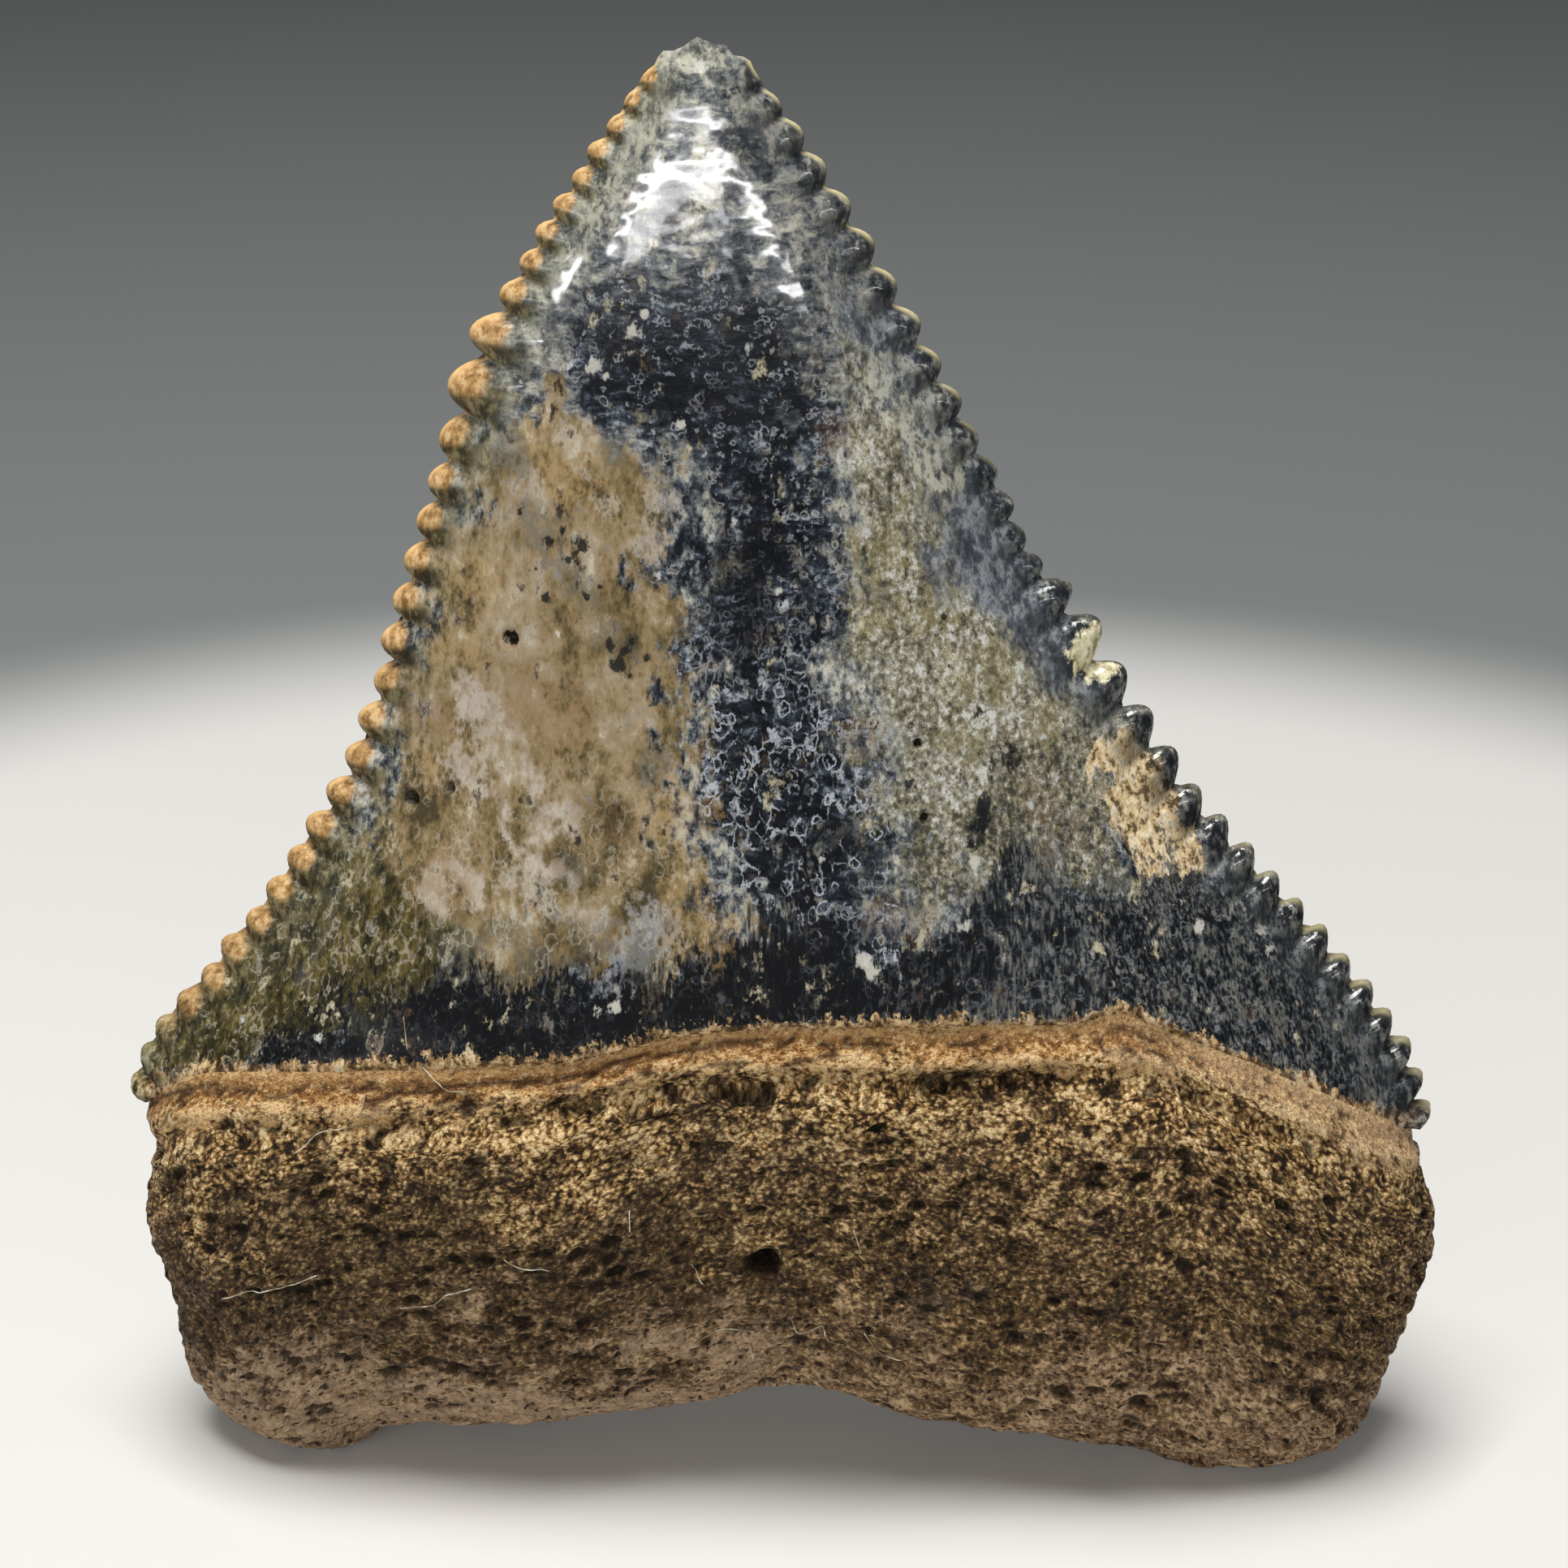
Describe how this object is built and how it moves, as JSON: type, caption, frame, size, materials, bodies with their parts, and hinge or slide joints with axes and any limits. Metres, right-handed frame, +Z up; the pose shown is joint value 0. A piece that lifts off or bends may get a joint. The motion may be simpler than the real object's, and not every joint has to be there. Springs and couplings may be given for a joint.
{
  "type": "fossil great white shark tooth",
  "caption": "Broad triangular fossil shark tooth with serrated cutting edges, mottled glossy enamel and a porous brown root whose lobes it stands on.",
  "frame": {"origin": "on the surface that the tooth stands on, under the middle of its bounding box", "axes": "+Z up from the root lobes to the tip, +X across the width, -Y out of the swollen (tongue) side of the root"},
  "size_m": [0.0358, 0.0086, 0.0386],
  "materials": {
    "tooth": "satin"
  },
  "bodies": {
    "root": {"tooth": "tooth"}
  },
  "joints": []
}
